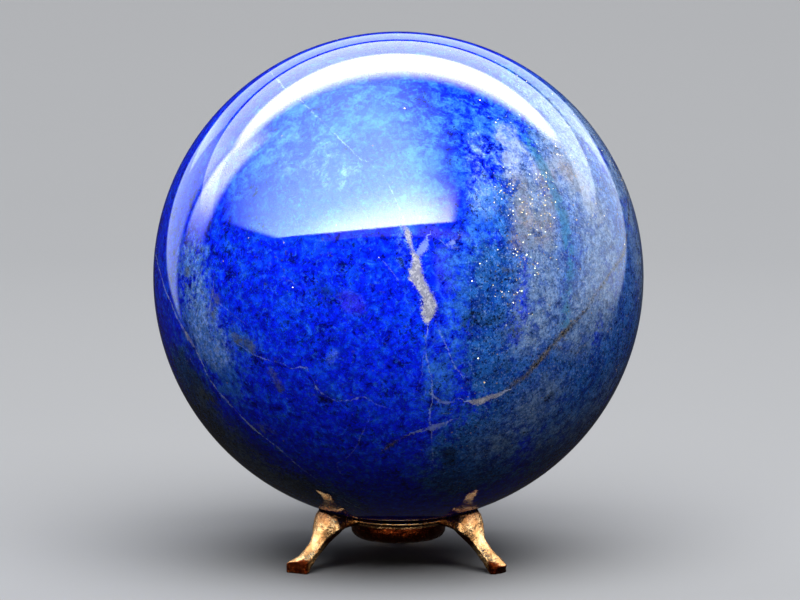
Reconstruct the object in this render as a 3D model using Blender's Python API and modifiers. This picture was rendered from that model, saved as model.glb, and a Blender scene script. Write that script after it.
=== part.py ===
"""A polished lapis lazuli sphere that rests on a small cast brass stand with three legs.

Two pieces: the stone, and the stand, which is one casting: a shallow dish whose lip carries the
stone, and three strap legs that widen into knees under the stone. The stand's feet are on Z = 0,
the stone's centre is on the Z axis, and the front, midway between two of the legs, is -Y.
"""

import math

import bmesh
import bpy
from mathutils import Matrix

MM = 0.001

# Driving dimensions, in millimetres
STONE_DIAMETER = 100.0
FLOOR_TO_STONE = 9.2
SEAT_GAP = 0.3
LIP_RADIUS = 10.7
LIP_EDGE = 0.25
LIP_DROP = 0.2
SEAT_RADIUS = 9.6
BOWL_RADIUS = 9.8
BOWL_UNDERSIDE = 5.35
BOWL_CORNER = 2.2
METAL = 1.0

# Worked out from them
STONE_RADIUS = STONE_DIAMETER / 2
STONE_CENTRE = FLOOR_TO_STONE + STONE_RADIUS
SEAT_SPHERE = STONE_RADIUS + SEAT_GAP

# Facets
STONE_SEGMENTS = 64
STONE_RINGS = 32
DISH_STEPS = 60
CORNER_STEPS = 4
LEG_LEVELS = 1
LEG_CREASE = 0.6

# A leg's sections from the dish to the toe. Each has four corners, which the other side mirrors:
# the ridge along the middle of the outer face, the shoulder beside it, the arris where that face
# ends, and the edge of the back. A corner is (distance from the axis, half width, height), and
# those above the seat are cut away by it.
LEG_SECTIONS = [
    ((9.5, 0.0, 10.4), (9.5, 0.9, 10.4), (9.5, 1.0, 9.1), (9.5, 0.7, 8.6)),
    ((11.5, 0.0, 10.9), (11.5, 1.3, 10.9), (11.5, 1.4, 9.2), (11.5, 1.0, 8.7)),
    ((13.5, 0.0, 11.5), (13.5, 2.6, 11.5), (13.5, 2.8, 9.3), (13.4, 2.3, 8.7)),
    ((15.6, 0.0, 12.4), (15.5, 3.9, 12.2), (15.2, 4.4, 9.3), (14.9, 3.8, 8.7)),
    ((17.3, 0.0, 13.0), (16.8, 4.3, 12.7), (16.6, 5.1, 9.2), (15.9, 4.3, 8.4)),
    ((18.5, 0.0, 10.7), (17.9, 3.9, 10.5), (17.3, 4.9, 8.5), (16.4, 4.1, 7.7)),
    ((19.0, 0.0, 8.9), (18.7, 2.7, 8.6), (18.1, 3.6, 7.5), (17.0, 3.2, 6.8)),
    ((19.6, 0.0, 7.2), (19.4, 1.6, 7.0), (18.9, 2.4, 6.3), (17.7, 2.2, 5.6)),
    ((20.5, 0.0, 5.7), (20.3, 1.3, 5.5), (19.9, 2.0, 4.9), (18.7, 1.8, 4.3)),
    ((21.7, 0.0, 4.4), (21.6, 1.4, 4.2), (21.3, 2.2, 3.6), (20.1, 2.0, 3.0)),
    ((23.1, 0.0, 3.3), (23.0, 1.5, 3.1), (22.8, 2.3, 2.5), (21.6, 2.2, 1.4)),
]

# Legs: direction in degrees from +X, how far the toe's end reaches and how high it is, how far
# its corners are rounded back, and how far its cut slants for each millimetre across
LEGS = {
    "left": {"turn": 210.0, "reach": 24.2, "toe": 2.4, "rounding": 0.0, "slant": -0.6},
    "right": {"turn": 330.0, "reach": 25.0, "toe": 1.6, "rounding": 1.1, "slant": 0.2},
    "back": {"turn": 90.0, "reach": 24.8, "toe": 1.8, "rounding": 0.8, "slant": 0.0},
}
TOE_HALF_WIDTH = 1.9


def seat_height(radius):
    """Height of the stand's top at this distance from the axis: a gap under the stone."""
    return STONE_CENTRE - math.sqrt(SEAT_SPHERE**2 - radius**2)


def clear_scene():
    for obj in list(bpy.data.objects):
        bpy.data.objects.remove(obj, do_unlink=True)


def new_collection(name):
    collection = bpy.data.collections.new(name)
    bpy.context.scene.collection.children.link(collection)
    return collection


def new_material(name, colour, metallic, roughness):
    material = bpy.data.materials.new(name)
    material.use_nodes = True
    shader = material.node_tree.nodes["Principled BSDF"]
    shader.inputs["Base Color"].default_value = (*colour, 1.0)
    shader.inputs["Metallic"].default_value = metallic
    shader.inputs["Roughness"].default_value = roughness
    return material


def new_object(name, mesh, collection, material=None):
    obj = bpy.data.objects.new(name, mesh)
    collection.objects.link(obj)
    if material:
        mesh.materials.append(material)
    return obj


def ball(name, radius, segments, rings, collection, material=None):
    """A UV sphere, with its centre at the stone's centre."""
    mesh = bpy.data.meshes.new(name)
    bm = bmesh.new()
    bmesh.ops.create_uvsphere(bm, u_segments=segments, v_segments=rings, radius=radius * MM)
    bm.to_mesh(mesh)
    bm.free()
    obj = new_object(name, mesh, collection, material)
    obj.location.z = STONE_CENTRE * MM
    return obj


def helper(obj):
    obj.hide_render = True
    obj.display_type = "WIRE"
    return obj


def arc(centre, radius, start, end, steps):
    """Points of an arc in the profile's plane, from one angle to another, in degrees."""
    turns = [math.radians(start + (end - start) * i / steps) for i in range(steps + 1)]
    return [(centre[0] + radius * math.cos(t), centre[1] + radius * math.sin(t)) for t in turns]


def dish_profile():
    """Half section of the dish as (radius, height): from the middle of its floor over the lip
    and down its outside to the middle of its underside."""
    middle = BOWL_RADIUS - BOWL_CORNER
    floor_top = BOWL_UNDERSIDE + METAL
    inner_corner = BOWL_CORNER - METAL
    lip_centre = (LIP_RADIUS - LIP_EDGE, seat_height(LIP_RADIUS) - LIP_DROP - LIP_EDGE)
    return [
        (0.0, floor_top),
        *arc((middle, floor_top + inner_corner), inner_corner, -90, 0, CORNER_STEPS),
        (BOWL_RADIUS - METAL, seat_height(SEAT_RADIUS) - METAL),
        (SEAT_RADIUS, seat_height(SEAT_RADIUS)),
        *arc(lip_centre, LIP_EDGE, 90, -90, CORNER_STEPS),
        (BOWL_RADIUS + LIP_EDGE, lip_centre[1] - LIP_EDGE),
        (BOWL_RADIUS, lip_centre[1] - 2 * LIP_EDGE),
        *arc((middle, BOWL_UNDERSIDE + BOWL_CORNER), BOWL_CORNER, 0, -90, CORNER_STEPS),
        (0.0, BOWL_UNDERSIDE),
    ]


def dish(collection):
    """The dish, turned round the Z axis."""
    mesh = bpy.data.meshes.new("dish")
    points = [(radius * MM, 0.0, height * MM) for radius, height in dish_profile()]
    mesh.from_pydata(points, [(i, i + 1) for i in range(len(points) - 1)], [])
    obj = new_object("dish", mesh, collection)
    screw = obj.modifiers.new("turn", "SCREW")
    screw.steps = DISH_STEPS
    screw.render_steps = DISH_STEPS
    screw.use_merge_vertices = True
    screw.merge_threshold = 0.00001
    screw.use_normal_calculate = True
    return obj


def toe_section(reach, toe, rounding):
    """The leg's last section: its cut end, which goes on below the floor and is cut off there."""
    return (
        (reach, 0.0, toe),
        (reach - rounding / 3, 0.6 * TOE_HALF_WIDTH, toe - 0.1),
        (reach - rounding, TOE_HALF_WIDTH, toe - 0.4),
        (reach - rounding, TOE_HALF_WIDTH, -toe),
    )


def leg(name, form, collection):
    """A cast strap leg: a loft of eight-sided sections, smoothed, with its long edges kept."""
    mesh = bpy.data.meshes.new(name)
    bm = bmesh.new()
    crease = bm.edges.layers.float.new("crease_edge")
    rings = []
    for section in [*LEG_SECTIONS, toe_section(form["reach"], form["toe"], form["rounding"])]:
        ridge, shoulder, arris, back = section
        loop = [ridge, shoulder, arris, back, (back[0], 0.0, back[2])]
        loop += [(x, -y, z) for x, y, z in (back, arris, shoulder)]
        rings.append([bm.verts.new([c * MM for c in corner]) for corner in loop])
    for vert in rings[-1]:
        vert.co.x += form["slant"] * vert.co.y
    sides = len(rings[0])
    for here, there in zip(rings, rings[1:]):
        for i in range(sides):
            j = (i + 1) % sides
            bm.faces.new((here[i], here[j], there[j], there[i]))
    bm.faces.new(list(reversed(rings[0])))
    bm.faces.new(rings[-1])
    bmesh.ops.recalc_face_normals(bm, faces=bm.faces)
    for here, there in zip(rings, rings[1:]):
        for i in (2, 3, 5, 6):
            bm.edges.get((here[i], there[i]))[crease] = LEG_CREASE
    for i in range(sides):
        bm.edges.get((rings[-1][i], rings[-1][(i + 1) % sides]))[crease] = LEG_CREASE
    bm.to_mesh(mesh)
    bm.free()
    obj = new_object(name, mesh, collection)
    obj.rotation_euler.z = math.radians(form["turn"])
    smooth = obj.modifiers.new("smooth", "SUBSURF")
    smooth.levels = LEG_LEVELS
    smooth.render_levels = LEG_LEVELS
    return helper(obj)


def floor_cutter(collection):
    """A block below Z = 0, which takes the feet down to one plane."""
    mesh = bpy.data.meshes.new("floor_cutter")
    side = 2 * STONE_RADIUS * MM
    bm = bmesh.new()
    bmesh.ops.create_cube(bm, size=side, matrix=Matrix.Translation((0, 0, -side / 2)))
    bm.to_mesh(mesh)
    bm.free()
    return helper(new_object("floor_cutter", mesh, collection))


def boolean(obj, other, operation):
    step = obj.modifiers.new(f"{operation.lower()} {other.name}", "BOOLEAN")
    step.operation = operation
    step.object = other
    step.solver = "EXACT"


def main():
    clear_scene()
    parts = new_collection("lapis_sphere_on_stand")
    cutters = new_collection("cutters")
    lapis = new_material("lapis", (0.010, 0.045, 0.42), 0.0, 0.08)
    brass = new_material("brass", (0.80, 0.52, 0.22), 1.0, 0.30)

    stone = ball("lapis_sphere", STONE_RADIUS, STONE_SEGMENTS, STONE_RINGS, parts, lapis)
    stone.data.shade_smooth()

    stand = dish(parts)
    stand.name = "brass_stand"
    stand.data.materials.append(brass)
    for name, form in LEGS.items():
        boolean(stand, leg(f"leg_{name}", form, cutters), "UNION")
    seat = helper(ball("seat_cutter", SEAT_SPHERE, 2 * STONE_SEGMENTS, 2 * STONE_RINGS, cutters))
    boolean(stand, seat, "DIFFERENCE")
    boolean(stand, floor_cutter(cutters), "DIFFERENCE")


main()
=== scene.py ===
"""Looks of a polished lapis lazuli sphere on a small cast brass stand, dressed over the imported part."""

import math

import bpy
import numpy as np
from mathutils import Matrix, Vector


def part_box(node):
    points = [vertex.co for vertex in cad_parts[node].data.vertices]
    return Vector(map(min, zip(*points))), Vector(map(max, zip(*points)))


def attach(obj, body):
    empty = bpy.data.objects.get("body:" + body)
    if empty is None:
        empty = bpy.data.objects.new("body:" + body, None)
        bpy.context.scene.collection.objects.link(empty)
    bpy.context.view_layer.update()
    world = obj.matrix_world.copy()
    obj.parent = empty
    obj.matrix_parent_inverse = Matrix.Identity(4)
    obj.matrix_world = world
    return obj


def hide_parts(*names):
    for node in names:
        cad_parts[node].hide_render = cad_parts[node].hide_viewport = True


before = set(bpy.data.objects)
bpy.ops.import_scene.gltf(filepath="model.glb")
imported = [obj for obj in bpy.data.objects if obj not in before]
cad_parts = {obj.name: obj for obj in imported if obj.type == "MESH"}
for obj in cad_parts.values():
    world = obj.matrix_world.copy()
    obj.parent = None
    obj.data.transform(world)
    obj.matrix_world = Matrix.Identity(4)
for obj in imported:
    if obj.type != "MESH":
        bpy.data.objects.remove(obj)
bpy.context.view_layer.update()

# The camera
# It stands level with the stone, a little above its middle and half a metre off. The photograph
# shows the stone as a circle, whose centre and radius in its 800 by 600 pixels give the lens.
low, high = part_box("lapis_sphere")
STONE_CENTRE = (low + high) / 2
STONE_RADIUS = (high - low).z / 2
PHOTO_WIDTH = 800
PHOTO_MIDDLE = (400, 300)
STONE_IN_PHOTO = (398.4, 276.9)
STONE_RADIUS_IN_PHOTO = 245.2
CAMERA_DISTANCE = 0.55
CAMERA_RISE = math.radians(5.0)

focal_px = STONE_RADIUS_IN_PHOTO / math.tan(math.asin(STONE_RADIUS / CAMERA_DISTANCE))
camera = bpy.data.cameras.new("camera")
camera.sensor_width = 36.0
camera.lens = camera.sensor_width * focal_px / PHOTO_WIDTH
camera_object = bpy.data.objects.new("camera", camera)
bpy.context.scene.collection.objects.link(camera_object)
camera_object.location = STONE_CENTRE + CAMERA_DISTANCE * Vector(
    (0.0, -math.cos(CAMERA_RISE), math.sin(CAMERA_RISE))
)
tilt = CAMERA_RISE + math.atan((PHOTO_MIDDLE[1] - STONE_IN_PHOTO[1]) / focal_px)
turn = -math.atan((PHOTO_MIDDLE[0] - STONE_IN_PHOTO[0]) / focal_px)
camera_object.rotation_euler = (math.pi / 2 - tilt, 0.0, turn)
bpy.context.scene.camera = camera_object
bpy.context.scene.view_settings.view_transform = "Standard"

# The stone
# One piece of lapis lazuli, ground round and polished: blue lazurite with grey-blue matrix on one
# side, threaded with white calcite and brown iron-stained cracks, and peppered with pyrite.
GRID = 101
MM = 0.001
seen_from = camera_object.location - STONE_CENTRE
view_turn = camera_object.rotation_euler.to_matrix()


def seen(x, y):
    """The point of the stone, in mm from its centre, that the photograph shows at this pixel."""
    ray = view_turn @ Vector((x - PHOTO_MIDDLE[0], PHOTO_MIDDLE[1] - y, -focal_px)).normalized()
    along = seen_from.dot(ray)
    depth = along**2 - seen_from.length_squared + STONE_RADIUS**2
    point = seen_from + ray * (-along - math.sqrt(max(depth, 0.0)))
    return point.normalized() * STONE_RADIUS / MM


def turned(azimuth, elevation):
    """A point of the stone by its direction: azimuth 0 is the front, 90 the right, 180 the back."""
    a, e = math.radians(azimuth), math.radians(elevation)
    direction = Vector((math.sin(a) * math.cos(e), -math.cos(a) * math.cos(e), math.sin(e)))
    return direction * STONE_RADIUS / MM


def deselect():
    for obj in bpy.context.selected_objects:
        obj.select_set(False)


deselect()
bpy.ops.mesh.primitive_cube_add(size=2 * STONE_RADIUS, location=STONE_CENTRE)
stone = bpy.context.object
stone.name = "polished_stone"
bpy.ops.object.mode_set(mode="EDIT")
bpy.ops.mesh.subdivide(number_cuts=GRID - 1)
bpy.ops.object.mode_set(mode="OBJECT")
bpy.ops.object.transform_apply(location=True, rotation=False, scale=False)

corners = np.empty(3 * len(stone.data.vertices))
stone.data.vertices.foreach_get("co", corners)
corners = corners.reshape(-1, 3) - np.array(STONE_CENTRE)
# Tangent spacing evens out the squares of the cube before they are pushed out onto the sphere
corners = np.tan(corners / STONE_RADIUS * math.pi / 4)
corners /= np.linalg.norm(corners, axis=1)[:, None]
surface = corners * STONE_RADIUS / MM

# Pits that polishing leaves in soft spots: where, radius and depth in mm
PITS = [
    (seen(449, 458), 1.3, 0.16),
    (seen(551, 398), 1.0, 0.12),
    (seen(323, 398), 1.1, 0.10),
    (seen(418, 300), 0.9, 0.08),
    (turned(150, 20), 1.5, 0.15),
    (turned(205, -12), 1.2, 0.12),
    (turned(262, 35), 1.0, 0.10),
    (turned(110, -30), 1.4, 0.14),
]
sunk = np.zeros(len(surface))
for centre, radius, depth in PITS:
    away = np.linalg.norm(surface - np.array(centre), axis=1)
    sunk += depth * np.exp(-((away / radius) ** 2))
placed = corners * (STONE_RADIUS - sunk[:, None] * MM) + np.array(STONE_CENTRE)
stone.data.vertices.foreach_set("co", placed.ravel())
stone.data.update()
stone.data.shade_smooth()

# Veins, each as its strength and a route of points with half widths in mm. White ones are calcite.
# The fourth is a thread down the left that is too fine to show, so it is drawn 1.7 times as wide.
WHITE_VEINS = [
    (0.6, [(seen(268, 70), 0.06), (seen(273, 75), 0.12), (seen(278, 80), 0.16), (seen(286, 89), 0.09),
           (seen(303, 103), 0.08), (seen(322, 121), 0.1), (seen(339, 138), 0.1), (seen(358, 157), 0.08),
           (seen(376, 168), 0.08), (seen(391, 190), 0.08), (seen(405, 221), 0.08)]),
    (1.0, [(seen(404, 226), 0.35), (seen(408, 233), 0.6), (seen(410, 243), 0.45), (seen(413, 252), 0.4),
           (seen(416, 262), 0.8), (seen(416, 274), 1.15), (seen(419, 283), 1.2), (seen(424, 291), 1.0),
           (seen(428, 300), 1.3), (seen(429, 309), 1.35), (seen(428, 317), 0.9), (seen(428, 325), 0.1)]),
    (0.6, [(seen(428, 326), 0.08), (seen(426, 346), 0.08), (seen(428, 360), 0.09), (seen(432, 380), 0.08),
           (seen(432, 398), 0.1), (seen(430, 412), 0.1), (seen(430, 424), 0.09), (seen(432, 440), 0.08),
           (seen(433, 462), 0.05)]),
    (1.0, [(seen(156, 255), 0.15), (seen(160, 272), 0.17), (seen(165, 289), 0.17), (seen(172, 305), 0.17),
            (seen(181, 325), 0.22), (seen(190, 340), 0.44), (seen(197, 352), 0.27), (seen(203, 365), 0.17),
            (seen(209, 378), 0.19), (seen(219, 392), 0.22), (seen(229, 403), 0.22), (seen(240, 415), 0.17),
            (seen(252, 427), 0.26), (seen(265, 438), 0.19), (seen(280, 449), 0.17), (seen(295, 463), 0.17),
            (seen(310, 475), 0.17), (seen(325, 486), 0.15), (seen(340, 497), 0.14), (seen(357, 507), 0.1)]),
    (1.0, [(seen(467, 401), 0.2), (seen(476, 402), 0.6), (seen(486, 399), 0.65), (seen(495, 396), 0.45),
           (seen(504, 392), 0.3)]),
    (1.0, [(turned(150, 62), 0.1), (turned(160, 48), 0.25), (turned(158, 30), 0.7), (turned(166, 16), 1.5),
           (turned(163, 2), 0.8), (turned(172, -14), 0.3), (turned(180, -30), 0.2),
           (turned(196, -46), 0.1)]),
    (0.7, [(turned(228, 40), 0.08), (turned(238, 22), 0.12), (turned(243, 4), 0.12),
    (turned(255, -14), 0.15),
           (turned(262, -34), 0.1)]),
    (0.7, [(turned(104, 44), 0.1), (turned(110, 26), 0.15), (turned(121, 10), 0.12),
    (turned(126, -10), 0.1)]),
]
CROSSING_VEINS = [
    (0.6, [(seen(416, 259), 0.4), (seen(420, 251), 0.6), (seen(424, 245), 0.6), (seen(427, 238), 0.2)]),
    (0.65, [(seen(433, 316), 0.06), (seen(438, 327), 0.1), (seen(442, 336), 0.11), (seen(446, 346), 0.1),
            (seen(451, 358), 0.1), (seen(457, 369), 0.14), (seen(464, 378), 0.08)]),
    (0.55, [(seen(425, 348), 0.06), (seen(423, 362), 0.08), (seen(421, 377), 0.1), (seen(417, 387), 0.08)]),
    (0.8, [(seen(412, 433), 0.12), (seen(424, 430), 0.3), (seen(432, 428), 0.5), (seen(441, 425), 0.4),
           (seen(452, 420), 0.12)]),
    (0.4, [(seen(219, 303), 0.07), (seen(228, 310), 0.08), (seen(236, 317), 0.08), (seen(244, 323), 0.05)]),
    (0.7, [(seen(238, 344), 0.04), (seen(247, 350), 0.05), (seen(256, 356), 0.07), (seen(265, 359), 0.08),
           (seen(273, 362), 0.05), (seen(283, 364), 0.06), (seen(292, 369), 0.05), (seen(300, 367), 0.15),
           (seen(307, 368), 0.07)]),
    (0.7, [(seen(311, 376), 0.05), (seen(315, 385), 0.12), (seen(320, 392), 0.16), (seen(328, 397), 0.05),
           (seen(337, 401), 0.04), (seen(345, 400), 0.04), (seen(353, 400), 0.1), (seen(360, 397), 0.2),
           (seen(368, 398), 0.12), (seen(374, 403), 0.05), (seen(381, 406), 0.08), (seen(386, 407), 0.04)]),
    (0.35, [(seen(367, 422), 0.06), (seen(361, 437), 0.09), (seen(353, 451), 0.09), (seen(345, 459), 0.08),
            (seen(336, 464), 0.2), (seen(339, 470), 0.3)]),
    (0.5, [(seen(433, 396), 0.15), (seen(437, 400), 0.3), (seen(445, 403), 0.35), (seen(451, 402), 0.1)]),
    (0.5, [(seen(214, 277), 0.05), (seen(213, 290), 0.06), (seen(210, 305), 0.09), (seen(209, 318), 0.09),
           (seen(205, 328), 0.1), (seen(204, 336), 0.05)]),
    (0.6, [(seen(449, 246), 0.3), (seen(453, 242), 0.6), (seen(455, 240), 0.2)]),
    (0.3, [(seen(384, 262), 0.06), (seen(392, 272), 0.1), (seen(401, 284), 0.06)]),
    (0.3, [(seen(440, 240), 0.06), (seen(446, 246), 0.1), (seen(455, 250), 0.06)]),
    (0.3, [(seen(283, 277), 0.06), (seen(293, 283), 0.1), (seen(302, 289), 0.06)]),
    (0.5, [(turned(140, 20), 0.1), (turned(160, 12), 0.15), (turned(184, 8), 0.2), (turned(206, -4), 0.1)]),
    (0.5, [(turned(250, 50), 0.1), (turned(226, 30), 0.15), (turned(210, 18), 0.1)]),
    (0.8, [(turned(96, -4), 0.1), (turned(118, -16), 0.2), (turned(140, -20), 0.5),
    (turned(158, -28), 0.1)]),
]
BROWN_VEINS = [
    (1.0, [(seen(505, 391), 0.35), (seen(512, 386), 0.5), (seen(519, 380), 0.5), (seen(525, 377), 0.55),
           (seen(531, 370), 0.5), (seen(538, 362), 0.6), (seen(546, 353), 0.65), (seen(552, 346), 0.45),
           (seen(558, 339), 0.5), (seen(566, 331), 0.6), (seen(575, 321), 0.45), (seen(584, 312), 0.4),
           (seen(592, 300), 0.4), (seen(600, 289), 0.4), (seen(608, 277), 0.45), (seen(615, 266), 0.45),
           (seen(622, 257), 0.5), (turned(70, 14), 0.4), (turned(84, 24), 0.3), (turned(98, 30), 0.1)]),
    (0.5, [(seen(553, 347), 0.25), (seen(562, 349), 0.35), (seen(573, 352), 0.3), (seen(585, 351), 0.3),
           (seen(591, 346), 0.2)]),
    (0.9, [(seen(386, 448), 0.3), (seen(392, 444), 0.4), (seen(399, 440), 0.25), (seen(409, 435), 0.2),
           (seen(418, 432), 0.1)]),
    (0.8, [(turned(190, 60), 0.1), (turned(204, 44), 0.5), (turned(222, 30), 0.6), (turned(232, 12), 0.7),
           (turned(228, -8), 0.4), (turned(236, -26), 0.1)]),
    (0.8, [(turned(130, -36), 0.1), (turned(150, -42), 0.5), (turned(176, -48), 0.5),
           (turned(200, -58), 0.1)]),
]
# How far past a vein's edge its width is kept, and how far from it the distance is measured, in mm
REACH = 1.6
MEASURED = 4
CURVE_STEPS = 5


def smooth_route(route):
    """Points and half widths along a smooth curve through a route's own points."""
    points = [np.array(point) for point, half_width in route]
    widths = [half_width for point, half_width in route]
    points = [points[0], *points, points[-1]]
    widths = [widths[0], *widths, widths[-1]]
    fine = []
    for i in range(1, len(points) - 2):
        before, here, there, after = points[i - 1 : i + 3]
        for step in range(CURVE_STEPS):
            t = step / CURVE_STEPS
            bend = 2 * here + (there - before) * t
            bend = bend + (2 * before - 5 * here + 4 * there - after) * t**2
            bend = bend + (3 * here - before - 3 * there + after) * t**3
            spot = bend / np.linalg.norm(bend) * STONE_RADIUS / MM
            fine.append((spot, widths[i] * (1 - t) + widths[i + 1] * t))
    fine.append((points[-2], widths[-2]))
    return fine


def vein_field(routes):
    """For each point of the stone, the signed distance in mm to the nearest vein, the vein's half
    width there, which is none away from it, and its strength."""
    nearest = np.full(len(surface), 1e3)
    signed = np.full(len(surface), REACH)
    width = np.zeros(len(surface))
    strength = np.zeros(len(surface))
    for full, route in routes:
        fine = smooth_route(route)
        for (start, start_width), (end, end_width) in zip(fine, fine[1:]):
            run = end - start
            length = np.linalg.norm(run)
            close = np.abs(surface - (start + end) / 2).max(axis=1) < length / 2 + MEASURED
            local = surface[close] - start
            t = np.clip(local @ run / length**2, 0, 1)
            away = local - t[:, None] * run
            distance = np.linalg.norm(away, axis=1)
            side = np.sign(np.cross(run, local) @ start)
            better = distance < nearest[close]
            spots = np.flatnonzero(close)[better]
            nearest[spots] = distance[better]
            signed[spots] = (side * distance)[better]
            width[spots] = (start_width * (1 - t) + end_width * t)[better]
            strength[spots] = full
    width[nearest > width + REACH] = 0
    return np.column_stack((np.clip(signed, -MEASURED, MEASURED), width, strength))


# Zones, each a run of soft strokes: points, radius in mm and strength from 0 to 1
STEEL_ZONE = [
    ([seen(540, 90), seen(560, 170), seen(575, 250), seen(560, 330), seen(520, 400), seen(470, 470)],
     12, 1.0),
    ([seen(500, 265), seen(495, 320), seen(490, 370)], 7, 1.0),
    ([seen(518, 175), seen(516, 250)], 6, 1.0),
    ([seen(600, 200), seen(625, 280), seen(610, 370), seen(560, 440)], 15, 1.0),
    ([seen(560, 230), seen(560, 300), seen(575, 350), seen(540, 400)], 12, 1.0),
    ([seen(190, 385), seen(215, 430), seen(270, 478), seen(330, 500)], 9, 1.0),
    ([turned(80, 40), turned(85, 0), turned(82, -30)], 15, 1.0),
    ([turned(205, 10), turned(215, -20)], 12, 0.8),
    ([turned(150, -50), turned(200, -60), turned(270, -50)], 14, 0.9),
]
GREY_ZONE = [
    ([seen(545, 110), seen(572, 170), seen(600, 240), seen(600, 300), seen(580, 320)], 7.5, 1.0),
    ([seen(530, 190), seen(540, 250), seen(545, 305), seen(530, 330)], 5.5, 0.9),
    ([seen(205, 410), seen(240, 450), seen(285, 480)], 7, 0.7),
    ([seen(610, 390), seen(575, 425), seen(540, 445)], 7, 0.5),
    ([seen(545, 395), seen(505, 440)], 7, 0.6),
    ([turned(75, 35), turned(82, 5)], 12, 0.9),
    ([turned(210, 0), turned(214, -18)], 8, 0.8),
]
DARK_ZONE = [
    ([seen(196, 385), seen(222, 425), seen(262, 455), seen(305, 485)], 7.5, 0.6),
    ([seen(485, 262), seen(500, 290), seen(505, 268)], 2.6, 0.3),
    ([seen(470, 325), seen(480, 320), seen(505, 322), seen(515, 332)], 2.4, 0.8),
    ([seen(500, 370), seen(560, 365), seen(600, 330)], 4.0, 0.35),
    ([seen(449, 453), seen(450, 464)], 1.3, 1.0),
    ([seen(547, 400), seen(552, 396)], 0.9, 1.0),
    ([seen(321, 398), seen(327, 401)], 1.3, 1.0),
    ([seen(355, 418), seen(350, 430)], 1.2, 0.8),
    ([seen(318, 290), seen(330, 298)], 2.2, 0.6),
    ([turned(250, -40), turned(280, -35), turned(300, -30)], 10, 0.8),
    ([turned(140, 34), turned(150, 22)], 5, 0.6),
    ([turned(175, -20), turned(190, -34)], 6, 0.6),
]
OLIVE_ZONE = [
    ([seen(186, 272), seen(184, 284)], 1.1, 1.0),
    ([seen(214, 294), seen(217, 300)], 1.1, 0.9),
    ([seen(211, 306), seen(212, 318)], 0.8, 0.7),
    ([seen(235, 337), seen(238, 340)], 0.9, 0.9),
    ([seen(247, 343), seen(252, 348)], 1.0, 0.9),
    ([seen(272, 372), seen(280, 388)], 1.0, 0.8),
    ([seen(205, 395), seen(216, 405)], 1.6, 0.7),
    ([seen(260, 428), seen(272, 432)], 1.6, 0.6),
    ([seen(512, 268), seen(506, 270)], 0.7, 0.7),
    ([turned(170, 40), turned(174, 36)], 1.5, 0.9),
    ([turned(130, 10), turned(136, 4)], 1.5, 0.9),
]
PALE_ZONE = [
    ([seen(190, 262), seen(194, 300), seen(212, 345)], 5.0, 1.0),
    ([seen(300, 150), seen(340, 170)], 8, 0.3),
    ([seen(555, 290), seen(545, 275)], 2.0, 0.6),
    ([seen(402, 236), seen(404, 262)], 1.4, 0.6),
    ([seen(330, 360), seen(336, 354)], 1.0, 0.4),
    ([seen(484, 150), seen(488, 200)], 3.5, 0.9),
    ([turned(190, 30), turned(205, 45)], 8, 0.6),
    ([turned(120, 0), turned(130, -12)], 5, 0.6),
]
AZURE_ZONE = [
    ([seen(492, 105), seen(500, 160), seen(488, 235)], 5, 0.9),
    ([seen(462, 250), seen(466, 300), seen(450, 345), seen(440, 395)], 4.5, 0.7),
    ([seen(235, 170), seen(290, 130), seen(360, 110), seen(440, 110), seen(420, 170)], 9, 0.62),
    ([seen(490, 400), seen(470, 440), seen(520, 430)], 7, 0.4),
    ([seen(190, 270), seen(200, 330), seen(225, 375)], 6, 1.0),
    ([seen(225, 330), seen(250, 350)], 3, 0.6),
    ([seen(408, 232), seen(406, 262)], 1.8, 0.7),
    ([turned(110, 20), turned(120, -20)], 12, 0.7),
    ([turned(235, 0), turned(240, 30)], 10, 0.6),
]
TAN_ZONE = [
    ([seen(562, 165), seen(585, 190), seen(598, 215)], 3.0, 0.7),
    ([seen(544, 172), seen(550, 200), seen(542, 240)], 3.5, 0.6),
    ([seen(520, 290), seen(515, 312)], 2.0, 0.5),
    ([seen(515, 180), seen(525, 215), seen(520, 245)], 3.0, 0.7),
    ([seen(480, 150), seen(476, 175)], 1.2, 0.4),
    ([turned(95, 5), turned(98, -14)], 5, 0.5),
]
TEAL_ZONE = [
    ([seen(522, 135), seen(536, 155), seen(548, 178), seen(560, 205), seen(568, 240), seen(571, 265)],
     1.3, 1.0),
    ([seen(571, 265), seen(566, 300), seen(565, 325)], 1.5, 0.7),
    ([turned(88, 50), turned(96, 20), turned(94, -10)], 2.0, 0.7),
]
LILAC_ZONE = [
    ([seen(508, 136), seen(512, 150), seen(506, 165)], 2.8, 0.8),
    ([seen(524, 150), seen(530, 165)], 2.0, 0.5),
    ([turned(140, 44), turned(146, 38)], 3.0, 0.8),
]
VIOLET_ZONE = [
    ([seen(345, 300), seen(356, 306)], 2.0, 0.8),
    ([seen(426, 233), seen(434, 232)], 1.8, 0.8),
    ([seen(446, 255), seen(450, 285)], 2.6, 0.7),
    ([turned(185, -2), turned(195, 6)], 5, 0.6),
]
PYRITE_ZONE = [
    ([seen(540, 176), seen(544, 187)], 1.3, 1.0),
    ([seen(523, 205), seen(535, 200)], 1.8, 0.9),
    ([seen(520, 215), seen(535, 222), seen(538, 234)], 1.8, 0.8),
    ([seen(548, 205), seen(548, 220)], 1.5, 0.7),
    ([seen(515, 240), seen(520, 252), seen(530, 262)], 2.0, 0.8),
    ([seen(510, 180), seen(506, 190)], 1.8, 0.5),
    ([seen(560, 150), seen(575, 168)], 2.5, 0.35),
    ([seen(515, 285), seen(512, 300)], 2.5, 0.35),
    ([turned(78, 24), turned(90, 8)], 4, 0.7),
    ([turned(214, 2), turned(222, -12)], 4, 0.7),
    ([turned(160, 48), turned(150, 40)], 3, 0.6),
]


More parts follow.
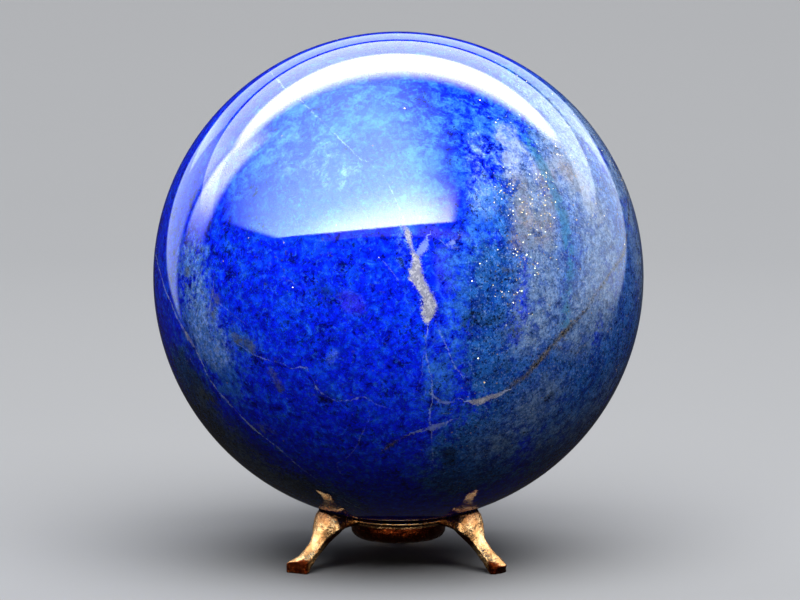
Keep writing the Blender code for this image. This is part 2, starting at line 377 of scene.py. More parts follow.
def zone_field(strokes):
    """Strength of a zone at each point of the stone: full on its strokes, fading over the radius."""
    strength = np.zeros(len(surface))
    for points, radius, full in strokes:
        distance = np.full(len(surface), 1e3)
        for start, end in zip(points, points[1:]):
            run = np.array(end - start)
            local = surface - np.array(start)
            t = np.clip(local @ run / (run @ run), 0, 1)
            distance = np.minimum(distance, np.linalg.norm(local - t[:, None] * run, axis=1))
        strength = np.maximum(strength, full * np.exp(-((distance / radius) ** 2)))
    return strength


def keep(name, values):
    """Stores three numbers for each corner of the stone under a name that its material reads."""
    store = stone.data.attributes.new(name, "FLOAT_VECTOR", "POINT")
    store.data.foreach_set("vector", np.ascontiguousarray(values, dtype=np.float32).ravel())


keep("white_veins", vein_field(WHITE_VEINS))
keep("crossing_veins", vein_field(CROSSING_VEINS))
keep("brown_veins", vein_field(BROWN_VEINS))
keep("steel_grey_dark", np.column_stack([zone_field(z) for z in (STEEL_ZONE, GREY_ZONE, DARK_ZONE)]))
keep("olive_pale_azure", np.column_stack([zone_field(z) for z in (OLIVE_ZONE, PALE_ZONE, AZURE_ZONE)]))
keep("tan_teal_lilac", np.column_stack([zone_field(z) for z in (TAN_ZONE, TEAL_ZONE, LILAC_ZONE)]))
# The third number is spare
keep("violet_pyrite", np.column_stack([zone_field(z) for z in (VIOLET_ZONE, PYRITE_ZONE, [])]))


def linear(hex_colour):
    """A colour written as sRGB hex, as the linear values that a shader takes."""
    parts = [int(hex_colour[i : i + 2], 16) / 255 for i in (1, 3, 5)]
    return (*(p / 12.92 if p <= 0.04045 else ((p + 0.055) / 1.055) ** 2.4 for p in parts), 1.0)


def add(tree, kind, inputs, output=0, **settings):
    """Adds a node with its settings, gives its inputs values or links, and returns one output.
    Inputs go by name, or by number where a name comes twice. A text value is a hex colour."""
    made = tree.nodes.new("ShaderNode" + kind)
    for name, value in settings.items():
        setattr(made, name, value)
    for socket, value in inputs.items():
        if isinstance(value, bpy.types.NodeSocket):
            tree.links.new(value, made.inputs[socket])
        else:
            made.inputs[socket].default_value = linear(value) if isinstance(value, str) else value
    return made.outputs[output]


# Polished lapis lazuli: a mosaic of lazurite grains, each a slightly different blue, under a
# mirror polish. The eye sees deep blue mottled at half a millimetre, and sharp reflections.
lapis = bpy.data.materials.new("polished_lapis_lazuli")
lapis.use_nodes = True
tree = lapis.node_tree
shader = tree.nodes["Principled BSDF"]
place = add(tree, "TexCoord", {}, "Object")
to_millimetres = {"Vector": place, "Location": -STONE_CENTRE / MM, "Scale": (1 / MM,) * 3}
millimetres = add(tree, "Mapping", to_millimetres)

# The stone's patterns: grain width in mm, detail, roughness, shift and twist. Lazurite grains are
# mostly under 0.3 mm, too fine to show, so the finest pattern is drawn at a third of a millimetre.
PATTERNS = {
    "cloud": (9.0, 4.0, 0.6, 0.0, 0.0),
    "patch": (2.6, 6.0, 0.68, 31.0, 0.6),
    "wisp": (1.5, 5.0, 0.7, 43.0, 1.6),
    "grain": (0.72, 3.0, 0.7, 57.0, 0.0),
    "fleck": (0.34, 2.0, 0.6, 83.0, 0.0),
    "cluster": (6.0, 3.0, 0.6, 97.0, 0.0),
    "pepper": (0.55, 3.0, 0.7, 11.0, 0.0),
    "speckle": (0.8, 4.0, 0.7, 17.0, 0.0),
    "rust": (1.0, 4.0, 0.7, 29.0, 0.0),
    "grit": (1.4, 6.0, 0.78, 71.0, 0.0),
}
patterns = []
for size, detail, rough, shift, twist in PATTERNS.values():
    moved = add(tree, "VectorMath", {0: millimetres, 1: (shift,) * 3})
    values = {"Vector": moved, "Scale": 1 / size, "Detail": detail, "Roughness": rough, "Distortion": twist}
    patterns.append(add(tree, "TexNoise", values))
cloud, patch, wisp, grain, fleck, cluster, pepper, speckle, rust, grit = patterns
mottle = add(tree, "Math", {0: patch, 1: 0.75}, operation="MULTIPLY")
mottle = add(tree, "Math", {0: grain, 1: 0.25, 2: mottle}, operation="MULTIPLY_ADD")
ragged = add(tree, "Math", {0: patch, 1: 1.3, 2: cloud}, operation="MULTIPLY_ADD")
ragged = add(tree, "Math", {0: grain, 1: 0.7, 2: ragged}, operation="MULTIPLY_ADD")
ragged = add(tree, "Math", {0: ragged, 1: 1.5}, operation="SUBTRACT")
SMOOTH = {"interpolation_type": "SMOOTHSTEP"}


def stored(name):
    """The three numbers stored on the stone under a name."""
    read = add(tree, "Attribute", {}, "Vector", attribute_name=name)
    return add(tree, "SeparateXYZ", {0: read}).node.outputs


def layered(tree, ground, *layers):
    """Colours laid over a ground in turn. A layer is its colour, its pattern, the range that the
    pattern rises through from bare to covered, and how much the layer covers at its thickest."""
    for above, pattern, bare, covered, most in layers:
        cover = add(tree, "MapRange", {0: pattern, 1: bare, 2: covered, 4: most}, **SMOOTH)
        ground = add(tree, "Mix", {0: cover, 6: ground, 7: above}, 2, data_type="RGBA")
    return ground


def zoned(ground, above, strength, softness, noise_share, most):
    """A colour laid over a ground in one zone of the stone, whose edge the grain breaks up."""
    broken = add(tree, "Math", {0: ragged, 1: noise_share, 2: 1.0}, operation="MULTIPLY_ADD")
    broken = add(tree, "Math", {0: strength, 1: broken}, operation="MULTIPLY")
    cover = add(tree, "MapRange", {0: broken, 1: 0.5 - softness, 2: 0.5 + softness, 4: most}, **SMOOTH)
    return add(tree, "Mix", {0: cover, 6: ground, 7: above}, 2, data_type="RGBA")


steel, grey, dark = stored("steel_grey_dark")
olive, pale, azure = stored("olive_pale_azure")
tan, teal, lilac = stored("tan_teal_lilac")
violet, pyrite = stored("violet_pyrite")[:2]

# Blue ground: lazurite from indigo to royal blue, with lighter wisps
blue = layered(
    tree,
    "#020C78",
    ("#041CEA", mottle, 0.38, 0.45, 1.0),
    ("#083EF6", mottle, 0.48, 0.57, 1.0),
    ("#2C74F4", mottle, 0.57, 0.67, 0.8),
    ("#2A6AF6", wisp, 0.54, 0.64, 0.6),
)
blue = zoned(blue, "#3A30D0", violet, 0.3, 4.0, 0.45)
sky_blue = layered(tree, "#1850C2", ("#3472D2", mottle, 0.42, 0.58, 1.0))
blue = zoned(blue, sky_blue, azure, 0.4, 3.5, 0.8)
milky = layered(tree, "#4A7CD8", ("#8CAEEC", wisp, 0.45, 0.6, 1.0))
blue = zoned(blue, milky, pale, 0.4, 3.5, 0.7)
inky = add(tree, "Math", {0: cluster, 1: 0.5, 2: grain}, operation="MULTIPLY_ADD")
blue = layered(tree, blue, ("#020740", inky, 0.85, 0.93, 0.8))

# Steel-blue matrix: blue, slate and near-black grains side by side
matrix = layered(
    tree,
    "#103E9C",
    ("#2462BC", mottle, 0.44, 0.55, 1.0),
    ("#5682C4", wisp, 0.53, 0.65, 0.65),
    ("#0A1E4C", pepper, 0.54, 0.62, 0.9),
    ("#7C90B0", fleck, 0.6, 0.7, 0.6),
)
colour = zoned(blue, matrix, steel, 0.25, 1.5, 1.0)

# Grey matrix of the paler side, with tan, teal and lilac patches
ash = layered(
    tree,
    "#5370A0",
    ("#7690B8", mottle, 0.44, 0.57, 1.0),
    ("#2C5494", pepper, 0.52, 0.62, 0.7),
    ("#98989C", fleck, 0.57, 0.67, 0.6),
)
colour = zoned(colour, ash, grey, 0.45, 1.8, 0.85)
tan_ground = layered(tree, "#96846C", ("#6E7688", mottle, 0.46, 0.54, 1.0))
colour = zoned(colour, tan_ground, tan, 0.4, 3.5, 0.6)
colour = zoned(colour, "#1E6C94", teal, 0.35, 3.0, 0.6)
lilac_ground = layered(tree, "#6C8CDC", ("#94A4D4", mottle, 0.4, 0.58, 1.0))
colour = zoned(colour, lilac_ground, lilac, 0.45, 3.5, 0.75)

# Dark and olive grains, thick in their zones and scattered elsewhere
shadowed = add(tree, "Math", {0: cluster, 1: 0.25, 2: speckle}, operation="MULTIPLY_ADD")
shadowed = add(tree, "Math", {0: dark, 1: 0.14, 2: shadowed}, operation="MULTIPLY_ADD")
colour = zoned(colour, "#0B142C", dark, 0.35, 4.0, 0.5)
colour = layered(tree, colour, ("#07090F", shadowed, 0.76, 0.82, 0.85))
rusty = add(tree, "Math", {0: cluster, 1: -0.25, 2: rust}, operation="MULTIPLY_ADD")
colour = layered(tree, colour, ("#464A48", rusty, 0.52, 0.57, 0.6))
drab = layered(tree, "#3C4858", ("#5A6054", grain, 0.45, 0.56, 1.0))
colour = zoned(colour, drab, olive, 0.4, 4.5, 0.6)
grit = add(tree, "Math", {0: grit, 1: 0.7}, operation="MULTIPLY")
grit = add(tree, "Math", {0: fleck, 1: 0.3, 2: grit}, operation="MULTIPLY_ADD")
grit = add(tree, "MapRange", {0: grit, 1: 0.38, 2: 0.62, 3: 0.6, 4: 1.42}, **SMOOTH)
gritty = {0: 1.0, 6: colour, 7: grit}
colour = add(tree, "Mix", gritty, 2, data_type="RGBA", blend_type="MULTIPLY")

# What the grain does to every vein: bends its line, nibbles its edges and varies its strength
bend = add(tree, "Math", {0: grain, 1: 0.9, 2: patch}, operation="MULTIPLY_ADD")
bend = add(tree, "Math", {0: bend, 1: 0.95}, operation="SUBTRACT")
nibble = add(tree, "Math", {0: ragged, 1: 1.6, 2: -1.2}, operation="MULTIPLY_ADD")
nibble = add(tree, "Math", {0: fleck, 1: 2.4, 2: nibble}, operation="MULTIPLY_ADD")
broken = add(tree, "Math", {0: cluster, 1: 0.4}, operation="MULTIPLY")
broken = add(tree, "Math", {0: wisp, 1: 0.6, 2: broken}, operation="MULTIPLY_ADD")
broken = add(tree, "MapRange", {0: broken, 1: 0.46, 2: 0.55, 3: 0.1}, **SMOOTH)


def vein_mask(name, softness):
    """Where a vein runs, and how broad it is. The softness of its edge is a share of its half width."""
    offset, half_width, strength = stored(name)
    away = add(tree, "Math", {0: offset, 1: bend}, operation="ADD")
    away = add(tree, "Math", {0: away}, operation="ABSOLUTE")
    edge = add(tree, "Math", {0: half_width, 1: away}, operation="SUBTRACT")
    bite = add(tree, "Math", {0: half_width, 1: 0.8}, operation="MINIMUM")
    edge = add(tree, "Math", {0: nibble, 1: bite, 2: edge}, operation="MULTIPLY_ADD")
    blur = add(tree, "Math", {0: half_width, 1: softness, 2: 0.05}, operation="MULTIPLY_ADD")
    edge = add(tree, "Math", {0: edge, 1: blur}, operation="DIVIDE")
    inside = add(tree, "MapRange", {0: edge, 1: -1.0, 2: 1.0}, **SMOOTH)
    present = add(tree, "MapRange", {0: half_width, 1: 0.02, 2: 0.05}, **SMOOTH)
    inside = add(tree, "Math", {0: inside, 1: present}, operation="MULTIPLY")
    whole = add(tree, "MapRange", {0: half_width, 1: 0.25, 2: 0.6}, **SMOOTH)
    whole = add(tree, "Math", {0: broken, 1: whole}, operation="MAXIMUM")
    inside = add(tree, "Math", {0: inside, 1: whole}, operation="MULTIPLY")
    inside = add(tree, "Math", {0: inside, 1: strength}, operation="MULTIPLY")
    return inside, add(tree, "MapRange", {0: half_width, 1: 0.15, 2: 0.45}, **SMOOTH)


# Brown veins: iron-stained cracks with dark specks along them
crumbs = add(tree, "Math", {0: wisp, 1: pepper}, operation="ADD")
crumbs = add(tree, "Math", {0: crumbs, 1: 0.5}, operation="MULTIPLY")
stain = layered(
    tree, "#545048", ("#0E1014", crumbs, 0.48, 0.56, 1.0), ("#948674", fleck, 0.55, 0.66, 0.8)
)
patchy = add(tree, "MapRange", {0: crumbs, 1: 0.38, 2: 0.5, 3: 0.45}, **SMOOTH)
mask, breadth = vein_mask("brown_veins", 0.9)
mask = add(tree, "Math", {0: mask, 1: patchy}, operation="MULTIPLY")
colour = add(tree, "Mix", {0: mask, 6: colour, 7: stain}, 2, data_type="RGBA")

# Calcite: white with grey grains, thin as a hair or broad as a ribbon
thread = add(tree, "Mix", {0: grain, 6: "#A0BCF0", 7: "#8CA0D4"}, 2, data_type="RGBA")
mask, breadth = vein_mask("crossing_veins", 0.3)
colour = add(tree, "Mix", {0: mask, 6: colour, 7: thread}, 2, data_type="RGBA")
calcite = layered(
    tree, "#9496AA", ("#C0C2D0", grain, 0.47, 0.58, 1.0), ("#4C5478", fleck, 0.56, 0.68, 0.7)
)
mask, breadth = vein_mask("white_veins", 0.25)
ribbon = add(tree, "Mix", {0: breadth, 6: "#A0BCF0", 7: calcite}, 2, data_type="RGBA")
colour = add(tree, "Mix", {0: mask, 6: colour, 7: ribbon}, 2, data_type="RGBA")

# Pyrite: brassy grains, a few everywhere and a crowd in the grey-blue side. Each has its own tilt,
# so that some of them glint and their neighbours don't. Most real ones are under 0.2 mm, too fine
# to show, so they are drawn in cells of 0.4 and 0.6 mm.
PYRITE_CELLS = (0.6, 0.42)
crowd = add(tree, "Math", {0: steel, 1: 0.03, 2: 0.002}, operation="MULTIPLY_ADD")
crowd = add(tree, "Math", {0: pyrite, 1: 0.8, 2: crowd}, operation="MULTIPLY_ADD")
gold = 0.0
for i in range(len(PYRITE_CELLS)):
    moved = add(tree, "VectorMath", {0: millimetres, 1: (7.0 * i, 3.0, 5.0 * i)})
    cells = add(tree, "TexVoronoi", {"Vector": moved, "Scale": 1 / PYRITE_CELLS[i]}).node.outputs
    chance = add(tree, "SeparateColor", {0: cells["Color"]}).node.outputs
    chosen = add(tree, "Math", {0: chance[0], 1: crowd}, operation="LESS_THAN")
    limit = add(tree, "Math", {0: chance[1], 1: 0.16, 2: 0.32}, operation="MULTIPLY_ADD")
    shape = add(tree, "Math", {0: fleck, 1: 0.4, 2: cells["Distance"]}, operation="MULTIPLY_ADD")
    grains = add(tree, "Math", {0: shape, 1: limit}, operation="LESS_THAN")
    grains = add(tree, "Math", {0: chosen, 1: grains}, operation="MULTIPLY")
    gold = add(tree, "Math", {0: gold, 1: grains}, operation="MAXIMUM")
colour = add(tree, "Mix", {0: gold, 6: colour, 7: "#E0C890"}, 2, data_type="RGBA")
lean = add(tree, "VectorMath", {0: cells["Color"], 1: (-0.5,) * 3})
tilted = add(tree, "Math", {0: gold, 1: 1.2}, operation="MULTIPLY")
lean = add(tree, "VectorMath", {0: lean, 3: tilted}, operation="SCALE")
facing = add(tree, "NewGeometry", {}, "Normal")
facing = add(tree, "VectorMath", {0: facing, 1: lean})
facing = add(tree, "VectorMath", {0: facing}, operation="NORMALIZE")
metallic = add(tree, "Math", {0: gold, 1: 0.6}, operation="MULTIPLY")
roughness = add(tree, "Math", {0: gold, 1: 0.22, 2: 0.03}, operation="MULTIPLY_ADD")

tree.links.new(colour, shader.inputs["Base Color"])
tree.links.new(metallic, shader.inputs["Metallic"])
tree.links.new(roughness, shader.inputs["Roughness"])
tree.links.new(facing, shader.inputs["Normal"])
shader.inputs["IOR"].default_value = 1.5

stone.data.materials.append(lapis)
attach(stone, "root")
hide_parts("lapis_sphere")

# The stand
# One brass casting: a shallow dish with a narrow lip, and three splayed legs. The outsides of the
# legs and the lip are polished; the rest is as it came from the mould, brown and grainy, with its
# brown darkened as painted shade in the bowl under the stone and on the undersides.
MELT_SIZE = 0.00017
MOULD_DENTS = ((0.0018, 0.00022), (0.0007, 0.00006))
KNEES_FROM = 0.0112
HOLLOW_REACH = 0.00055
HOLLOW_GAP = 0.0001
deselect()
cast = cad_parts["brass_stand"].copy()
cast.data = cast.data.copy()
cast.name = "cast_stand"
bpy.context.scene.collection.objects.link(cast)
cast.parent = None
cast.matrix_world = Matrix.Identity(4)
for key in list(cast.keys()):
    del cast[key]
bpy.context.view_layer.objects.active = cast
cast.select_set(True)
bpy.ops.object.mode_set(mode="EDIT")
bpy.ops.mesh.select_all(action="SELECT")
bpy.ops.mesh.remove_doubles(threshold=0.000001)
bpy.ops.object.mode_set(mode="OBJECT")
cast.data.remesh_voxel_size = MELT_SIZE
melt = cast.modifiers.new("melt", "REMESH")
melt.mode = "VOXEL"
melt.voxel_size = MELT_SIZE
bpy.ops.object.modifier_apply(modifier=melt.name)
ease = cast.modifiers.new("ease", "SMOOTH")
ease.factor = 0.5
ease.iterations = 3
bpy.ops.object.modifier_apply(modifier=ease.name)
for size, depth in MOULD_DENTS:
    mould = bpy.data.textures.new("mould", "CLOUDS")
    mould.noise_scale = size
    mould.noise_depth = 2
    dent = cast.modifiers.new("dent", "DISPLACE")
    dent.texture = mould
    dent.texture_coords = "LOCAL"
    dent.mid_level = 0.5
    dent.strength = depth
    bpy.ops.object.modifier_apply(modifier=dent.name)
# The knees' hollows are brought up close under the stone, and nothing is left outside the casting
low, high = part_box("brass_stand")
spots = np.empty(3 * len(cast.data.vertices))
cast.data.vertices.foreach_get("co", spots)
spots = spots.reshape(-1, 3)
from_stone = spots - np.array(STONE_CENTRE)
reach = np.linalg.norm(from_stone, axis=1)
under = (reach < STONE_RADIUS + HOLLOW_REACH) & (np.hypot(spots[:, 0], spots[:, 1]) > KNEES_FROM)
from_stone[under] *= ((STONE_RADIUS + HOLLOW_GAP) / reach[under])[:, None]
spots = np.clip(from_stone + np.array(STONE_CENTRE), np.array(low), np.array(high))
cast.data.vertices.foreach_set("co", spots.ravel())
cast.data.update()
cast.data.shade_smooth()

# Cast brass, part polished: the eye sees warm gold on the legs, darkening up to the knees as
# painted shade from the stone above, and brown grainy skin in the bowl, underneath and on the toes,
# with its dark brown partly painted shade in the bowl and underneath. Mould sand of 0.1 to 0.2 mm is
# too fine to show, so its grain is drawn at 0.45 mm. Heights and distances below are in mm.
SAND_GRAIN = 0.45
WEAR_PATCH = 2.2
brass = bpy.data.materials.new("cast_brass")
brass.use_nodes = True
tree = brass.node_tree
shader = tree.nodes["Principled BSDF"]
place = add(tree, "TexCoord", {}, "Object")
millimetres = add(tree, "Mapping", {"Vector": place, "Scale": (1 / MM,) * 3})
moved = add(tree, "VectorMath", {0: millimetres, 1: (5.0,) * 3})
sand = add(tree, "TexNoise", {"Vector": moved, "Scale": 1 / SAND_GRAIN, "Detail": 3.0, "Roughness": 0.7})
moved = add(tree, "VectorMath", {0: millimetres, 1: (19.0,) * 3})
wear = add(tree, "TexNoise", {"Vector": moved, "Scale": 1 / WEAR_PATCH, "Detail": 4.0, "Roughness": 0.6})
across, along, height = add(tree, "SeparateXYZ", {0: millimetres}).node.outputs
away = add(tree, "Math", {0: along, 1: along}, operation="MULTIPLY")
away = add(tree, "Math", {0: across, 1: across, 2: away}, operation="MULTIPLY_ADD")
away = add(tree, "Math", {0: away}, operation="SQRT")
facing = add(tree, "NewGeometry", {}, "Normal")
upward = add(tree, "SeparateXYZ", {0: facing}, "Z")
level = add(tree, "Math", {0: upward}, operation="ABSOLUTE")

# Painted shade over the as-cast skin: faces turned downwards, the bowl under the stone and the toes' steep
# faces take a dark brown
shaded_underside = add(tree, "Math", {0: sand, 1: 0.5, 2: upward}, operation="MULTIPLY_ADD")
shaded_underside = add(tree, "MapRange", {0: shaded_underside, 1: 0.05, 2: -0.25}, **SMOOTH)
in_dish = add(tree, "MapRange", {0: away, 1: 12.0, 2: 10.5}, **SMOOTH)
below_lip = add(tree, "MapRange", {0: height, 1: 8.9, 2: 8.6}, **SMOOTH)
bowl = add(tree, "Math", {0: in_dish, 1: below_lip}, operation="MULTIPLY")
far_out = add(tree, "MapRange", {0: away, 1: 21.8, 2: 22.6}, **SMOOTH)
steep = add(tree, "MapRange", {0: level, 1: 0.7, 2: 0.45}, **SMOOTH)
toe = add(tree, "Math", {0: far_out, 1: steep}, operation="MULTIPLY")
cast_skin_and_shade = add(tree, "Math", {0: shaded_underside, 1: bowl}, operation="MAXIMUM")
cast_skin_and_shade = add(tree, "Math", {0: cast_skin_and_shade, 1: toe}, operation="MAXIMUM")

# Painted shade: the polished gold darkens to brown towards the knee tops, which lie in the stone's shade,
# and the sand grain breaks its edge
painted_knee_shade = add(tree, "Math", {0: sand, 1: 5.0, 2: -2.5}, operation="MULTIPLY_ADD")
painted_knee_shade = add(tree, "Math", {0: painted_knee_shade, 1: height}, operation="ADD")
polished = layered(
    tree, "#FFDCAA", ("#F0B478", wear, 0.38, 0.66, 1.0), ("#7C4622", painted_knee_shade, 8.6, 12.2, 0.92)
)
browned_and_shaded = layered(tree, "#54200E", ("#A85A2A", sand, 0.54, 0.66, 1.0))
colour = add(tree, "Mix", {0: cast_skin_and_shade, 6: polished, 7: browned_and_shaded}, 2, data_type="RGBA")
roughness = add(tree, "MapRange", {0: wear, 1: 0.3, 2: 0.7, 3: 0.2, 4: 0.3}, **SMOOTH)
bump = add(tree, "Bump", {"Height": sand, "Strength": 0.9, "Distance": 0.00014})
tree.links.new(colour, shader.inputs["Base Color"])
tree.links.new(roughness, shader.inputs["Roughness"])
tree.links.new(bump, shader.inputs["Normal"])
shader.inputs["Metallic"].default_value = 1.0

cast.data.materials.clear()
cast.data.materials.append(brass)
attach(cast, "root")
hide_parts("brass_stand")

# The lip's rim
# The dish's lip is filed round by hand and rubbed bright by the stone and by fingers. It is part of
# the same casting, and is a ring of its own here to keep its edge sharp.
LIP_RADIUS = 0.01056
LIP_HEIGHT = 0.00972
RIM_RADIUS = 0.00016
deselect()
bpy.ops.mesh.primitive_torus_add(
    major_radius=LIP_RADIUS,
    minor_radius=RIM_RADIUS,
    major_segments=180,
    minor_segments=12,
    location=(0, 0, LIP_HEIGHT),
)
rim = bpy.context.object
rim.name = "lip_rim"
bpy.ops.object.transform_apply(location=True, rotation=False, scale=False)
filing = bpy.data.textures.new("filing", "CLOUDS")
filing.noise_scale = 0.0016
uneven = rim.modifiers.new("uneven", "DISPLACE")
uneven.texture = filing
uneven.texture_coords = "LOCAL"
uneven.mid_level = 0.5
uneven.strength = 0.00012
bpy.ops.object.modifier_apply(modifier=uneven.name)
rim.data.shade_smooth()

# Burnished brass: the eye sees a thin bright line, a little duller where it is less rubbed
RUBBED_PATCH = 0.7
burnished = bpy.data.materials.new("burnished_brass")
burnished.use_nodes = True
tree = burnished.node_tree
shader = tree.nodes["Principled BSDF"]
place = add(tree, "TexCoord", {}, "Object")
moved = add(tree, "Mapping", {"Vector": place, "Location": (3.0,) * 3, "Scale": (1 / MM,) * 3})
rubbed = add(tree, "TexNoise", {"Vector": moved, "Scale": 1 / RUBBED_PATCH, "Detail": 3.0, "Roughness": 0.6})
colour = layered(tree, "#FFE6BC", ("#E0A868", rubbed, 0.5, 0.62, 1.0))
roughness = add(tree, "MapRange", {0: rubbed, 1: 0.4, 2: 0.6, 3: 0.18, 4: 0.3}, **SMOOTH)
tree.links.new(colour, shader.inputs["Base Color"])
tree.links.new(roughness, shader.inputs["Roughness"])
shader.inputs["Metallic"].default_value = 1.0
rim.data.materials.append(burnished)
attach(rim, "root")

# The floor
# A pale seamless sweep of paper, flat under the stand and rising all round far away from it.
# It takes the part's shadow, but isn't mirrored in the part and throws no light back onto it.
FLOOR_FLAT = 0.8
FLOOR_RISE = 2.6
FLOOR_TOP = 3.2
COVE_STEPS = 16
deselect()
bpy.ops.mesh.primitive_circle_add(vertices=96, radius=FLOOR_FLAT, fill_type="NGON")
floor = bpy.context.object
floor.name = "floor"
bpy.ops.object.mode_set(mode="EDIT")
bpy.ops.mesh.select_all(action="SELECT")
for i in range(COVE_STEPS):
    angle, before = (math.pi / 2 * k / COVE_STEPS for k in (i + 1, i))
    radius = FLOOR_FLAT + FLOOR_RISE * math.sin(angle)
    last_radius = FLOOR_FLAT + FLOOR_RISE * math.sin(before)
    lift = FLOOR_RISE * (math.cos(before) - math.cos(angle))
    bpy.ops.mesh.extrude_region_move(TRANSFORM_OT_translate={"value": (0, 0, lift)})
    grow = radius / last_radius
    bpy.ops.transform.resize(value=(grow, grow, 1), center_override=(0, 0, 0))
bpy.ops.mesh.extrude_region_move(TRANSFORM_OT_translate={"value": (0, 0, FLOOR_TOP - FLOOR_RISE)})
bpy.ops.mesh.delete(type="ONLY_FACE")
bpy.ops.object.mode_set(mode="OBJECT")
floor.data.shade_smooth()

# Matt paper: an even pale grey with no shine
paper = bpy.data.materials.new("matt_paper")
paper.use_nodes = True
shader = paper.node_tree.nodes["Principled BSDF"]
shader.inputs["Base Color"].default_value = linear("#8B8C8E")
shader.inputs["Roughness"].default_value = 0.9
shader.inputs["Specular IOR Level"].default_value = 0.1
floor.data.materials.append(paper)
floor.visible_diffuse = False
floor.visible_glossy = False

# The light
# Soft boxes hung round the part, placed from the stone's centre. Four light the colours and aren't
# mirrored. The others are only mirrored, nine in the stone and five in the brass: a strip overhead,
# a wide window in front, and pale walls behind and beside them.


def soft_box(
    name, centre, facing, size, glow, colour, receivers,
    fades=(0.02,) * 4, turn=0.0, lean=0.0, bow=0.0, pivot=0.5,
):
    """A rectangular light, as bright as its glow where it is mirrored. It fades out towards its
    left, right, lower and upper edge over these shares of its size. Its lower edge can lean or bow
    about a pivot, and a fifth share then fades out its straight foot. It is mirrored by its
    receivers only, and without receivers it gives light but isn't mirrored."""
    lamp = bpy.data.lights.new(name, "AREA")
    lamp.shape = "RECTANGLE"
    lamp.size, lamp.size_y = size
    lamp.color = linear(colour)[:3]
    lamp.energy = glow * math.pi * size[0] * size[1]
    lamp.use_nodes = True
    tree = lamp.node_tree
    parametric = add(tree, "NewGeometry", {}, "Parametric")
    across, up = add(tree, "SeparateXYZ", {0: parametric}).node.outputs[:2]
    from_pivot = add(tree, "Math", {0: across, 1: pivot}, operation="SUBTRACT")
    slope = add(tree, "Math", {0: from_pivot, 1: bow, 2: lean}, operation="MULTIPLY_ADD")
    risen = add(tree, "Math", {0: slope, 1: from_pivot, 2: up}, operation="MULTIPLY_ADD")
    strength = 1.0
    for i in range(len(fades)):
        along = (across, across, risen, up, up)[i]
        dark_end, lit_end = (0.0, fades[i]) if i % 2 == 0 else (1.0, 1.0 - fades[i])
        fade = add(tree, "MapRange", {0: along, 1: dark_end, 2: lit_end}, **SMOOTH)
        strength = add(tree, "Math", {0: strength, 1: fade}, operation="MULTIPLY")
    tree.links.new(strength, tree.nodes["Emission"].inputs["Strength"])
    box = bpy.data.objects.new(name, lamp)
    bpy.context.scene.collection.objects.link(box)
    box.location = STONE_CENTRE + Vector(centre)
    aim = Vector(facing).to_track_quat("-Z", "Y").to_matrix()
    box.rotation_euler = (Matrix.Rotation(turn, 3, "Z") @ aim).to_euler()
    box.visible_camera = False
    box.visible_diffuse = receivers is None
    box.visible_glossy = receivers is not None
    if receivers is not None:
        box.light_linking.receiver_collection = receivers


ON_STONE = bpy.data.collections.new("on_stone")
ON_STONE.objects.link(stone)
ON_BRASS = bpy.data.collections.new("on_brass")
ON_BRASS.objects.link(cast)
ON_BRASS.objects.link(rim)
DOWN = (0, 0, -1)
SLANT = math.radians(17)
SOFT = (0.2,) * 4
soft_box("key", (0.15, -1.05, 1.65), (-0.08, 0.54, -0.84), (2.4, 1.7), 8.5, "#FFFFFF", None)
soft_box("top", (0.0, 0.7, 1.9), DOWN, (3.0, 1.8), 1.4, "#F6F9FF", None)
soft_box("fill", (0.0, -2.0, 0.4), (0, 1, 0), (3.0, 0.9), 0.22, "#FFFFFF", None)
soft_box("wash", (0.0, 0.6, 2.1), (0, 0.9, -0.45), (3.6, 1.0), 5.5, "#FFFFFF", None)

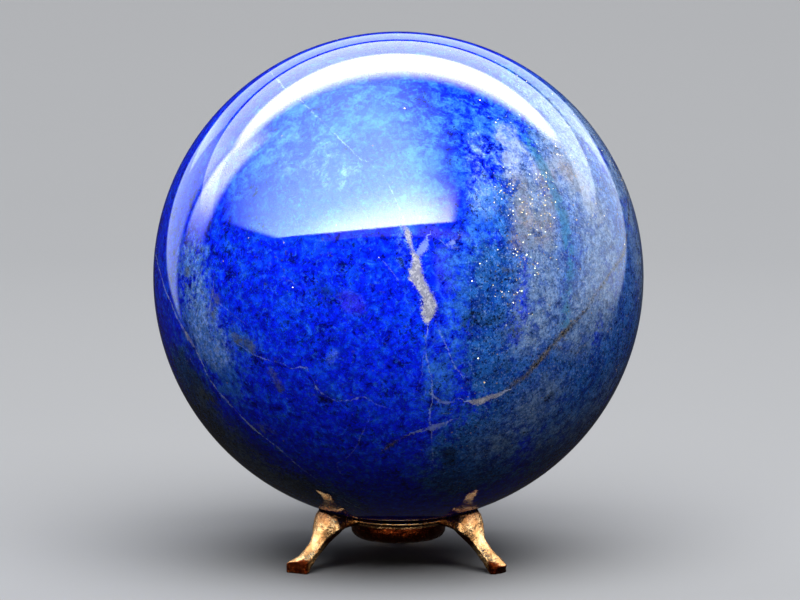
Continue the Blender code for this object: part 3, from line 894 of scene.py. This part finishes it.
soft_box("strip", (-0.05, 0.56, 1.0), DOWN, (3.1, 0.6), 17.0, "#FFFFFF", ON_STONE,
         (0.2, 0.2, 0.42, 0.25), bow=-2.6, pivot=0.516)
soft_box("window", (-1.285, -0.68, 1.02), DOWN, (3.6, 3.2), 24.0, "#B4E0FF", ON_STONE,
         (0.1, 0.18, 0.015, 1.0), SLANT, bow=-0.567, pivot=0.833)
soft_box("sill", (-0.68, -1.615, 1.015), DOWN, (3.06, 1.12), 15.0, "#F6FAFF", ON_STONE,
         (0.35, 0.06, 0.04, 1.0), SLANT, bow=-1.145, pivot=0.8)
soft_box("sky", (0.0, 1.15, 1.01), DOWN, (8.0, 0.8), 4.2, "#DCEAFF", ON_STONE,
         (0.25, 0.25, 0.1, 0.02))
soft_box("back", (0.0, 1.6, 0.71), (0, -1, 0), (2.6, 0.5), 2.1, "#D0E4FF", ON_STONE,
         (0.04, 0.04, 0.06, 0.06))
soft_box("right", (0.24, 0.15, 0.1015), (-1, 0, 0), (0.62, 0.317), 2.1, "#DCEAFF", ON_STONE,
         (0.35, 0.02, 0.06, 0.35, 0.15), lean=-1.408, pivot=0.395)
soft_box("left", (-0.24, 0.30, 0.0765), (1, 0, 0), (0.4, 0.267), 2.2, "#CCE2FF", ON_STONE,
         (0.02, 0.06, 0.06, 0.3), lean=0.989, pivot=0.951)
soft_box("pane", (-0.6, 0.21, 0.38), (1, 0, 0), (0.24, 0.7), 10.0, "#E8F2FF", ON_STONE,
         (0.2, 0.3, 0.45, 0.45))
soft_box("low", (0.0, -2.0, 0.75), (0, 1, 0), (3.4, 0.7), 0.8, "#F4F2FF", ON_STONE,
         (0.2, 0.2, 0.5, 0.2))

soft_box("brass_sky", (0.0, 0.2, 0.9), DOWN, (4.4, 3.6), 1.5, "#FFF4E0", ON_BRASS, SOFT)
soft_box("brass_strip", (0.0, 1.25, 0.9), DOWN, (3.6, 1.1), 8.0, "#FFF8EC", ON_BRASS, SOFT)
soft_box("brass_card", (0.0, -0.8, 0.12), (0, 1, 0), (1.8, 0.26), 4.5, "#FFEAD0", ON_BRASS,
         (0.1, 0.1, 0.4, 0.1))
soft_box("brass_left", (-0.9, 0.3, 0.4), (1, 0, 0), (1.5, 0.7), 2.6, "#FFF4E4", ON_BRASS, SOFT)
soft_box("brass_right", (0.9, 0.3, 0.4), (-1, 0, 0), (1.5, 0.7), 2.6, "#FFF4E4", ON_BRASS, SOFT)

world = bpy.data.worlds.new("studio")
world.use_nodes = True
world.node_tree.nodes["Background"].inputs[0].default_value = linear("#F0E8DC")
world.node_tree.nodes["Background"].inputs[1].default_value = 0.025
bpy.context.scene.world = world
